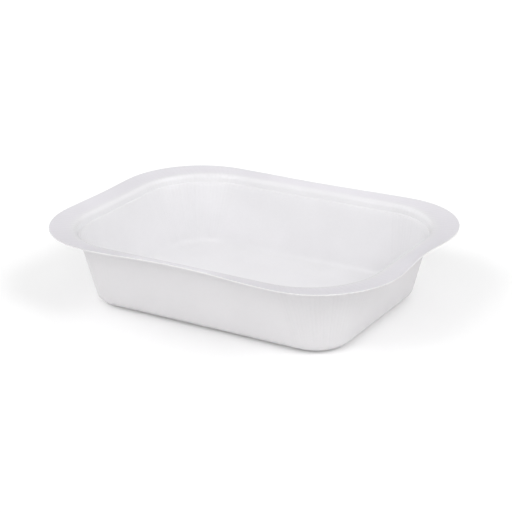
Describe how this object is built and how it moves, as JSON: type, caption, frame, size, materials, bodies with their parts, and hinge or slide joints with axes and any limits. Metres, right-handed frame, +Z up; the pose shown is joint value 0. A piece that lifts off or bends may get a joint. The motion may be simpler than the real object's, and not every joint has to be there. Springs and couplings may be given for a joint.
{
  "type": "pressed board food tray",
  "caption": "Open rectangular food tray pressed from one blank of coated white board, with sloping walls, rounded edges and a wide flange gathered in pleats at its corners.",
  "frame": {"origin": "middle of the flat resting face", "axes": "+X along the tray's length, +Y across it, +Z up out of its mouth"},
  "size_m": [0.187, 0.137, 0.0396],
  "materials": {
    "coated_board": "smooth white board with a thin glossy coating on the food side and satin outside"
  },
  "bodies": {
    "root": {"tray": "coated_board"}
  },
  "joints": []
}
